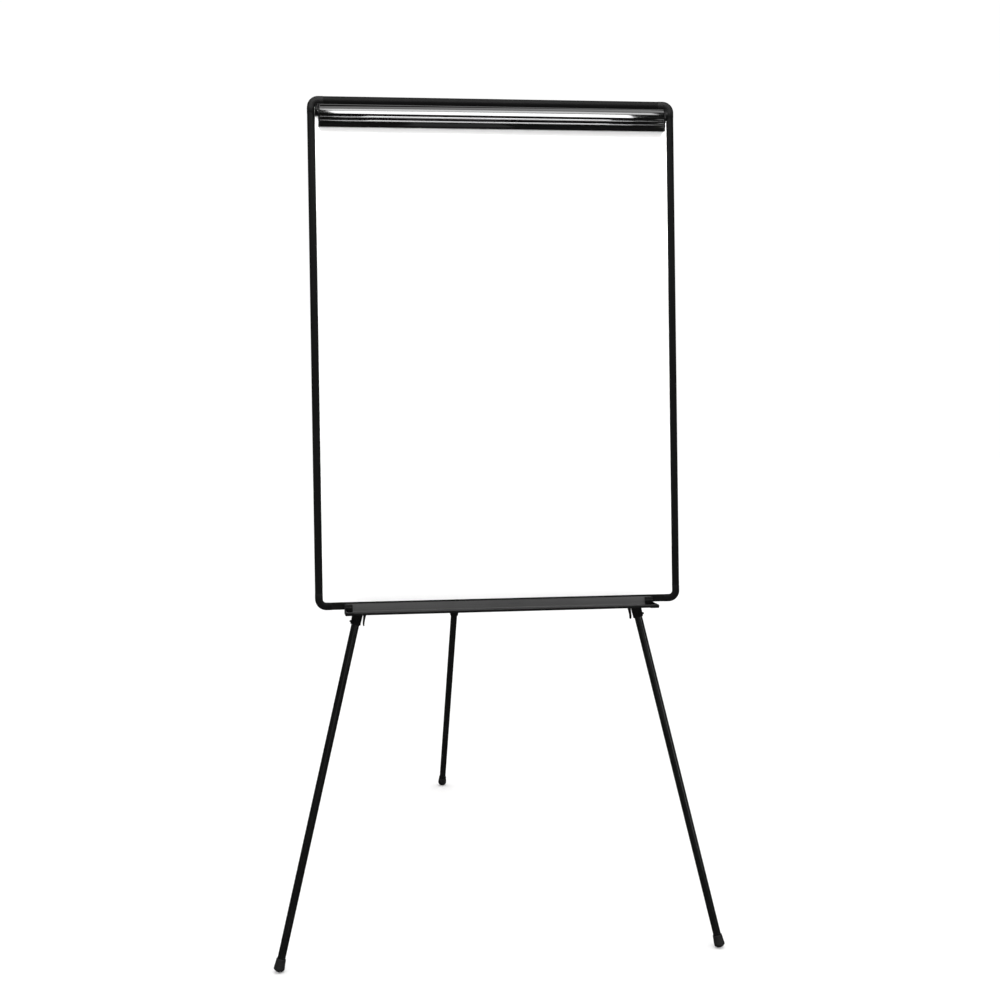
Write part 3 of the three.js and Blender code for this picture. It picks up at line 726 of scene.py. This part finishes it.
def retainer_back(top):
    """The way back up the retainer's inner face, as (ahead, up) points."""
    return traced(
        (28.4, top - 44.4),
        (41.4, top - 45.7),
        (43.2, top - 45.7, 43.5, top - 43.6),
        (44.8, top - 25.4),
        (48.3, top - 21.6),
        (46.2, top - 5.2, 34, top - 2.7),
        (33.4, top - 4.4),
        (31.2, top - 4.4),
        steps=10,
    )


def pin_drilled(body, x, axis):
    """The body with the retainer pin's hole through it."""
    drill = turned([(0, -30), (PIN_HOLE, -30), (PIN_HOLE, 30), (0, 30)], 32)
    return cut(body, along("x", drill, x, axis.y, axis.z))


def retainer_bracket(low, high):
    """The piece that steps over the frame's inner corner and holds the pin."""
    top, foot = high.z, -high.y
    outline = facing(traced(
        (foot, top - 8), (FITTING_FACE, top - 8), (FITTING_FACE, top), (33, top), (45, top - 2, 46, top - 14),
        (45.6, top - 24, 37, top - 24.5), (foot, top - 24.5)))
    return softened(prism(outline, "x", low.x, high.x), 0.6, 3)


def retainer_pin(length, radius):
    chamfer = 0.4
    return turned([(0, 0), (radius - chamfer, 0), (radius, chamfer), (radius, length - chamfer),
                   (radius - chamfer, length), (0, length)], 32)


def retainer_spring(low, high):
    """A bent leaf between the panel and the retainer's back."""
    foot, top = -high.y, high.z
    leaf = facing(traced(
        (foot, top), (foot, top - 9), (foot + 0.4, top - 11.6, foot + 3, top - 11.2),
        (foot + 10, top - 10, foot + 14.4, top - 4.8), (foot + 13.8, top - 4.4),
        (foot + 9.6, top - 9.2, foot + 3, top - 10.4), (foot + 1, top - 10.6, foot + 0.7, top - 9),
        (foot + 0.7, top), steps=12))
    return softened(prism(leaf, "x", low.x, high.x), 0.12, 2)


def build_retainer():
    low, high = measured("retainer_bar", BOARD)
    outline = facing(retainer_face(high.z) + retainer_back(high.z))
    bar = prism(outline, "x", low.x, high.x)
    stand_in("retainer_bar", softened(bar, 0.25, 2), BOARD, "retainer_black")
    axis = middle("left_retainer_pin")
    for side in ("left", "right"):
        low, high = measured(f"{side}_retainer_end_cap", BOARD)
        cap = softened(prism(facing(retainer_face(high.z)), "x", low.x, high.x), 0.5, 3)
        stand_in(f"{side}_retainer_end_cap", pin_drilled(cap, high.x, axis), BOARD, "plastic_black")

        low, high = measured(f"{side}_retainer_bracket", BOARD)
        bracket = pin_drilled(retainer_bracket(low, high), high.x, axis)
        stand_in(f"{side}_retainer_bracket", bracket, BOARD, "plastic_black")

        low, high = measured(f"{side}_retainer_pin", BOARD)
        pin = retainer_pin(high.x - low.x, (high.z - low.z) / 2)
        stand_in(f"{side}_retainer_pin", along("x", pin, low.x, axis.y, axis.z), BOARD, "zinc_steel")

        spring = retainer_spring(*measured(f"{side}_retainer_spring", BOARD))
        stand_in(f"{side}_retainer_spring", spring, BOARD, "spring_steel")


# ------------ fasteners


def rod(radius, low, high, chamfer=0.3, segments=32):
    """A rod about Z with chamfered ends."""
    return turned([(0, low), (radius - chamfer, low), (radius, low + chamfer), (radius, high - chamfer),
                   (radius - chamfer, high), (0, high)], segments)


def pan_screw(radius, height, shank, length):
    """A screw along Z: a domed head with a cross recess above Z = 0 and its shank below."""
    dome = traced((radius, 0), (radius, height * 0.25), (radius, height, radius * 0.35, height),
                  (0, height), steps=8)
    head = turned([(0, 0), *[tuple(point) for point in dome]], 48)
    reach, half, depth = radius * 0.55, radius * 0.13, height * 0.55
    slots = [
        softened(block((-reach, reach), (-half, half), (height - depth, height + 1)), 0.1, 1),
        softened(block((-half, half), (-reach, reach), (height - depth - 0.05, height + 1)), 0.1, 1),
    ]
    screw = cut(head, *slots)
    thread_pitch = 1.2
    turns = int(length / thread_pitch)
    profile = [(0, -length), (shank - 0.7, -length)]
    for index in range(turns, 0, -1):
        profile += [(shank - 0.4, -index * thread_pitch + 0.3), (shank, -index * thread_pitch + 0.6),
                    (shank - 0.4, -index * thread_pitch + 0.9)]
    profile += [(shank - 0.3, 0.2), (0, 0.2)]
    return joined(screw, turned(profile, 32))


def hex_head(radius, height):
    """A hexagonal bolt head on Z = 0 with a turned chamfer and a washer face."""
    hexagon = [(radius * math.cos(math.pi * k / 3), radius * math.sin(math.pi * k / 3)) for k in range(6)]
    head = prism(hexagon, "z", 0.3, height)
    flat = radius * math.cos(math.pi / 6)
    outside = radius + 1
    envelope = turned([(0, -1), (outside, -1), (outside, height - 1.1), (flat * 0.96, height), (0, height)])
    shaped = combined(head, [envelope], "INTERSECT")
    washer = turned([(0, 0), (flat * 0.97, 0), (flat * 0.97, 0.4), (0, 0.4)], 48)
    return softened(joined(shaped, washer), 0.12, 1, 25)


def build_board_screws():
    """The hub, keeper and tray screws, each put where its CAD node is."""
    head_height = 2.3
    for node in ("left_hub_screw", "right_hub_screw", "left_keeper_screw", "right_keeper_screw"):
        low, high = measured(node, BOARD)
        seat = high.y - head_height
        screw = pan_screw((high.z - low.z) / 2, head_height, 2.0, seat - low.y)
        screw = along("y", screw, middle(node).x, seat, middle(node).z)
        stand_in(node, screw, BOARD, "zinc_steel")
    head_height = 2.2
    for node in ("left_tray_screw", "right_tray_screw"):
        low, high = measured(node, BOARD)
        screw = pan_screw((high.x - low.x) / 2, head_height, 1.8, high.z - low.z - head_height)
        over = Matrix.Rotation(math.pi, 4, "X")
        place = Matrix.Translation((middle(node).x, middle(node).y, low.z + head_height))
        stand_in(node, moved(screw, place @ over), BOARD, "zinc_steel")


def build_pivot_bolts():
    """Two bolts in from the board's back for the front legs, and one across for the rear leg."""
    head = 3.4
    for node in ("left_leg_pivot_bolt", "right_leg_pivot_bolt"):
        low, high = measured(node, BOARD)
        bolt = joined(hex_head(BOLT_HEX, head), rod(BOLT_SHANK, low.y - high.y + head, 0.2))
        bolt = along("y", bolt, middle(node).x, high.y - head, middle(node).z)
        stand_in(node, bolt, BOARD, "zinc_steel")
    head = 3.7
    node = "rear_leg_pivot_bolt"
    low, high = measured(node, BOARD)
    far_head = 2 * head - (high.x - low.x)
    over = Matrix.Translation((0, 0, far_head)) @ Matrix.Rotation(math.pi, 4, "X")
    bolt = joined(hex_head(BOLT_HEX, head), moved(hex_head(BOLT_HEX, head), over),
                  rod(BOLT_SHANK, far_head - 0.2, 0.2))
    bolt = along("x", bolt, high.x - head, middle(node).y, middle(node).z)
    stand_in(node, bolt, BOARD, "zinc_steel")


# ------------ hub and keeper bar


def build_hub():
    """Two plates with a web and a rib between them, the rear leg's ears on the back plate, and bosses
    round the front legs' bolts."""
    low, high = measured("hub_bracket", BOARD)
    half, front = high.x, low.y  # the front plate's half width, and its face towards the board
    plate, plate_corner = 2.2, 6
    back = -front - plate  # the back plate's inner face
    face = back + plate
    back_half = 66
    bottom, top, back_top = low.z, high.z, high.z - 4.5
    outline = rounded_rectangle(-half, half, bottom, top, plate_corner)
    front_plate = softened(prism(outline, "y", front, front + plate), 0.5, 3)
    outline = rounded_rectangle(-back_half, back_half, bottom, back_top, plate_corner)
    back_plate = softened(prism(outline, "y", back, face), 0.6, 3)
    between = (front + 0.5, back + 0.5)
    web = block((4 - back_half, back_half - 4), between, (back_top - 4, back_top - 0.5))
    rib = block((-14, 14), between, (bottom + 1, back_top - 1))
    body = joined(front_plate, back_plate, web, rib)

    rear_pivot = BOARD.inverted() @ Vector(JOINTS["rear_leg_fold"]["pos_m"]) / MM
    eye_radius = 12
    eye = []
    for degrees in range(90, -64, -7):
        turn = math.radians(degrees)
        eye.append((rear_pivot.y + eye_radius * math.cos(turn), rear_pivot.z + eye_radius * math.sin(turn)))
    ear_outline = [(back + 0.4, 1694), (back + 0.4, 1724), *eye]
    ears = [softened(prism(ear_outline, "x", *span), 0.5, 3) for span in ((9.8, 13), (-13, -9.8))]

    bolt_x, bolt_z = 46.1, 1707
    bosses = []
    stiffeners = []
    for side in (-1, 1):
        boss = turned([(0, 0), (9.2, 0), (8.6, 0.9), (0, 0.9)], 48)
        bosses.append(along("y", boss, side * bolt_x, face - 0.1, bolt_z))
        for level in (bottom + 5, back_top - 6.5):
            span = sorted((side * 17, side * 60))
            stiffeners.append(softened(block(span, (face - 0.3, face + 0.9), (level, level + 1.6)), 0.3, 2))
    body = joined(body, *ears, *bosses, *stiffeners)

    screw_x, screw_z = 80, 1725.5
    holes = [along("x", rod(BOLT_HOLE, -20, 20), 0, rear_pivot.y, rear_pivot.z)]
    for side in (-1, 1):
        holes.append(along("y", rod(BOLT_HOLE, -20, 20), side * bolt_x, 0, bolt_z))
        holes.append(along("y", rod(PIN_HOLE, -20, 0), side * screw_x, 0, screw_z))
    stand_in("hub_bracket", softened(cut(body, *holes), 0.2, 1, 50), BOARD, "plastic_black")


def build_keeper():
    """The bent strap: its outline has round bends, and its ends are rounded off."""
    low, high = measured("keeper_bar", BOARD)
    end, flange_front, strap_back = high.x, low.y, high.y
    thickness, bend = 2.2, 3.0
    stop = end - 22
    screw_x, level = 303, (low.z + high.z) / 2
    corners = []
    for side in (1, -1):
        corners += [(side * end, flange_front, 0), (side * stop, flange_front, bend - thickness),
                    (side * stop, strap_back - thickness, bend - thickness)][::side]
    for side in (-1, 1):
        outer = stop + thickness
        corners += [(side * end, flange_front + thickness, 0), (side * outer, flange_front + thickness, bend),
                    (side * outer, strap_back, bend)][::-side]
    strap = prism(filleted(corners, 6), "z", low.z, high.z)
    holes = [along("y", rod(PIN_HOLE, -20, 20), side * screw_x, flange_front, level) for side in (-1, 1)]
    stand_in("keeper_bar", softened(cut(strap, *holes), 0.3, 2, 50), BOARD, "tube_black")


# ------------ legs

UPPER_RADIUS, UPPER_BORE = 9.2, 8.3
LOWER_RADIUS, LOWER_BORE = 8.0, 7.0
COLLAR_HEIGHT, COLLAR_LEDGE = 32.0, 22.0
LEVER_PIN = (-13.7, -5.0)  # X and Z from the collar's axis and top


def tube(low, high, radius, bore):
    """A tube about Z with its cut ends broken."""
    edge = 0.25
    profile = [(bore, low + edge), (bore + edge, low), (radius - edge, low), (radius, low + edge),
               (radius, high - edge), (radius - edge, high), (bore + edge, high), (bore, high - edge)]
    return turned(profile, hollow=True)


def top_plug():
    """The plug in the tube's top, with the pivot eye across it."""
    eye = along("y", rod(8.5, -8.4, 8.4, 0.8, 48))
    neck = rod(8.4, -15, 0, 0.5, 48)
    ribs = [(0, -48)]
    shank_radius = UPPER_BORE - 0.3
    for level in range(-48, -16, 4):
        ribs += [(shank_radius - 0.5, level), (shank_radius, level + 0.8), (shank_radius, level + 2.6),
                 (shank_radius - 0.5, level + 3.4)]
    shank = turned([*ribs, (shank_radius - 0.5, -14), (0, -14)], 48)
    body = joined(softened(joined(eye, neck), 0.5, 3, 40), shank)
    return cut(body, along("y", rod(BOLT_HOLE, -12, 12, 0.1)))


def lock_collar():
    """The clamp at the upper tube's end: grip rings, a clamping slit between the lever's cheeks, and
    a lug on the other side."""
    radius = 10.48
    rings = [(0, -COLLAR_HEIGHT), (9.9, -COLLAR_HEIGHT), (10.35, -COLLAR_HEIGHT + 0.7)]
    for level in (-28.5, -26.0, -23.5):
        rings += [(radius, level - 0.9), (radius, level), (radius - 0.45, level + 0.4),
                  (radius - 0.45, level + 0.9), (radius, level + 1.3)]
    rings += [(radius, -1.6), (radius - 0.35, -0.5), (9.85, 0), (0, 0)]
    sleeve = turned(rings)
    cheeks = []
    for span in ((5, 7.4), (-7.4, -5)):
        outline = filleted([(-16.6, -10, 2.4), (-5, -11.5, 0), (-5, -1, 0), (-16.6, -1, 2.4)], 6)
        cheeks.append(softened(prism(outline, "y", *span), 0.4, 3))
    lug = softened(block((8, 12.8), (-2.6, 2.6), (-29, -25)), 0.9, 3)
    body = joined(sleeve, *cheeks, lug)
    seat = turned([(0, -COLLAR_LEDGE), (UPPER_RADIUS + 0.3, -COLLAR_LEDGE), (UPPER_RADIUS + 0.3, -0.4),
                   (UPPER_RADIUS + 0.5, 0.01), (UPPER_RADIUS + 0.5, 2), (0, 2)])
    throat = turned([(0, -COLLAR_HEIGHT - 2), (LOWER_RADIUS + 0.7, -COLLAR_HEIGHT - 2),
                     (LOWER_RADIUS + 0.7, -COLLAR_HEIGHT), (LOWER_RADIUS + 0.3, -COLLAR_HEIGHT + 0.6),
                     (LOWER_RADIUS + 0.3, 0), (0, 0)])
    slit = block((-14, -6), (-0.6, 0.6), (-24, 2))
    pin_hole = along("y", rod(LEVER_PIN_HOLE, -12, 12, 0.1), LEVER_PIN[0], 0, LEVER_PIN[1])
    return softened(cut(body, seat, throat, slit, pin_hole), 0.15, 1, 50)


def lever_pin():
    """A riveted pin with a shallow head on each end."""
    half, shank = 7.9, 1.5
    profile = [(0, -half), (1.3, -half + 0.05), (shank, -half + 0.4), (shank, half - 0.4),
               (1.3, half - 0.05), (0, half)]
    return along("y", turned(profile, 32), LEVER_PIN[0], 0, LEVER_PIN[1])


def lock_lever():
    """The flip lever: a round head on its pin and a curved arm with thumb ridges near its tip."""
    head, half = 3.1, 4.6
    x, z = LEVER_PIN
    outline = traced(
        (x - head, z), (-16.6, -22), (-16.8, -27, -18.2, -30.4), (-17.6, -31.6, -16, -31.4),
        (-13.4, -27, -13, -20), (x + 2.6, z - 1.7), steps=8)
    start, steps = -0.58, 16  # the head's round begins where the arm's last point is, in radians
    for step in range(1, steps):
        turn = start + (math.pi - start) * step / steps
        outline.append(Vector((x + head * math.cos(turn), z + head * math.sin(turn))))
    arm = softened(prism(outline, "y", -half, half), 0.7, 3)
    ridges = []
    for index in range(4):
        level = -20.5 - 2.1 * index
        ridge = along("y", rod(0.55, -half + 1.1, half - 1.1, 0.3, 16), -16.55 - 0.1 * index ** 1.6, 0, level)
        ridges.append(ridge)
    body = joined(arm, *ridges)
    return cut(body, along("y", rod(LEVER_PIN_HOLE, -8, 8, 0.1), x, 0, z))


def slide_bush():
    """The bush on the lower tube's top: a stem in the tube and a grooved rim that fills the upper."""
    stem, rim = LOWER_BORE - 0.3, UPPER_BORE - 0.2
    return turned([(0, -14), (stem - 0.5, -14), (stem, -13.4), (stem, 0.3), (rim - 0.2, 0.3), (rim, 0.5),
                   (rim, 1.6), (rim - 0.4, 1.9), (rim - 0.4, 2.5), (rim, 2.8), (rim, 4.7), (6.6, 6), (0, 6)])


def rubber_foot():
    """A flared rubber foot with a round, grooved sole, two grip rings and a rolled rim."""
    centre, dome, radius, steps = 14, 13.83, 10.88, 16
    edge = math.asin(radius / centre)
    sole = []
    for step in range(steps + 1):
        turn = edge * step / steps
        groove = 0.25 if step in (6, 10, 13) else 0.0
        reach = dome - groove
        sole.append((reach * math.sin(turn), centre - reach * math.cos(turn)))
    side = [(radius, 5.9), (radius, 11.2), (10.65, 12.4), (10.35, 13.4), (10.35, 14.2), (10.6, 14.8),
            (10.5, 15.8), (10.0, 16.6), (9.95, 17.4), (10.1, 18.0), (10.0, 19.2), (9.8, 24.0), (9.75, 25.2),
            (9.4, 26.6), (8.9, 27.0)]
    inside = [(LOWER_RADIUS + 0.3, 26.7), (LOWER_RADIUS + 0.3, 6), (0, 6)]
    return turned([*sole, *side, *inside])


def build_leg(leg):
    """One telescopic leg, from its top plug to its foot."""
    place = leg_frame(leg)
    collar_top = measured(f"{leg}_lock_collar", place)[1].z
    at_collar = Matrix.Translation((0, 0, collar_top))
    stand_in(f"{leg}_top_plug", top_plug(), place, "plastic_black")
    low, high = measured(f"{leg}_upper_tube", place)
    stand_in(f"{leg}_upper_tube", tube(low.z, high.z, UPPER_RADIUS, UPPER_BORE), place, "tube_black")
    stand_in(f"{leg}_lock_collar", moved(lock_collar(), at_collar), place, "plastic_black")
    stand_in(f"{leg}_lever_pin", moved(lever_pin(), at_collar), place, "zinc_steel")
    stand_in(f"{leg}_lock_lever", moved(lock_lever(), at_collar), place, "plastic_black")
    low, high = measured(f"{leg}_lower_tube", place)
    stand_in(f"{leg}_lower_tube", tube(low.z, high.z, LOWER_RADIUS, LOWER_BORE), place, "tube_black")
    bush = moved(slide_bush(), Matrix.Translation((0, 0, high.z)))
    stand_in(f"{leg}_slide_bush", bush, place, "plastic_black")
    low = measured(f"{leg}_foot", place)[0]
    foot = moved(rubber_foot(), Matrix.Translation((0, 0, low.z)))
    stand_in(f"{leg}_foot", foot, place, "rubber_black")


# ------------ stage


def build_floor():
    """A square of floor, half a millimetre under the feet."""
    half = 9.0 / MM
    floor = bmesh.new()
    corners = [(-half, -half), (half, -half), (half, half), (-half, half)]
    floor.faces.new([floor.verts.new((x, y, -0.5)) for x, y in corners])
    made = link_mesh("studio_floor", floor, studio_floor())
    made.visible_glossy = False


def set_world():
    """A white room that lights evenly, but is dark in reflections, so that blacks stay deep."""
    seen, lit, mirrored = 1.02, 1.12, 0.015
    world = bpy.data.worlds.new("studio")
    bpy.context.scene.world = world
    world.use_nodes = True
    tree = world.node_tree
    path = tree.nodes.new("ShaderNodeLightPath")
    strength = tree.nodes["Background"].inputs["Strength"]
    steps = [("Is Glossy Ray", lit, mirrored), ("Is Camera Ray", None, seen)]
    below = None
    for ray, low, high in steps:
        choice = tree.nodes.new("ShaderNodeMapRange")
        tree.links.new(path.outputs[ray], choice.inputs["Value"])
        choice.inputs["To Max"].default_value = high
        if below:
            tree.links.new(below, choice.inputs["To Min"])
        else:
            choice.inputs["To Min"].default_value = low
        below = choice.outputs["Result"]
    tree.links.new(below, strength)
    tree.nodes["Background"].inputs["Color"].default_value = (1, 1, 1, 1)


def add_light(name, kind, place, target, **settings):
    light = bpy.data.lights.new(name, kind)
    for setting, value in settings.items():
        setattr(light, setting, value)
    lamp = bpy.data.objects.new(name, light)
    lamp.location = place
    lamp.rotation_euler = (Vector(target) - Vector(place)).to_track_quat("-Z", "Y").to_euler()
    bpy.context.scene.collection.objects.link(lamp)
    return lamp


def add_softbox(name, place, target, size, brightness):
    """A panel of that radiance, which only shows as a highlight."""
    width, height = size
    lamp = add_light(name, "AREA", place, target, shape="RECTANGLE", size=width, size_y=height,
                     energy=brightness * math.pi * width * height)
    lamp.visible_diffuse = False


def add_lights():
    sun = add_light("key", "SUN", (0.8, -1.6, 3.6), (0, 0, 0), energy=0.3, angle=math.radians(60))
    sun.visible_glossy = False
    width, height, radiance = 4.0, 2.4, 2.4  # of the broad fill from the camera's side
    fill = add_light("front", "AREA", (-0.2, -4.4, 0.9), (0, -0.5, 1.1), shape="RECTANGLE", size=width,
                     size_y=height, energy=radiance * math.pi * width * height)
    fill.visible_glossy = False
    add_softbox("over_camera", (0.3, -2.95, 3.35), (0, -0.45, 1.7), (3.2, 1.5), 22.0)
    add_softbox("over_camera_rim", (0.3, -1.95, 4.0), (0, -0.45, 1.7), (3.2, 0.7), 9.0)
    add_softbox("crown", (0.2, -0.9, 3.9), (0, -0.45, 1.7), (3.2, 1.3), 2.4)
    add_softbox("behind", (0, 1.2, 3.6), (0, -0.45, 1.7), (3.0, 1.6), 0.8)
    add_softbox("front_sheen", (-0.1, -4.2, 0.95), (0, -0.45, 1.0), (1.4, 1.7), 0.35)
    add_softbox("right_strip", (2.6, -2.7, 1.0), (0, -0.5, 0.6), (0.5, 2.0), 3.0)


def add_camera():
    camera = bpy.data.cameras.new("camera")
    camera.lens = 58.39
    camera.sensor_width = 36
    holder = bpy.data.objects.new("camera", camera)
    holder.location = (-0.443, -3.7206, 1.331)
    holder.rotation_euler = (math.radians(90 - 7.08), 0, math.radians(-7.95))
    bpy.context.scene.collection.objects.link(holder)
    bpy.context.scene.camera = holder


build_bars()
build_corners()
build_panels()
build_tray()
build_retainer()
build_board_screws()
build_pivot_bolts()
build_hub()
build_keeper()
for leg_name in ("left_leg", "right_leg", "rear_leg"):
    build_leg(leg_name)

build_floor()
set_world()
add_camera()
add_lights()
bpy.context.scene.view_settings.view_transform = "Standard"
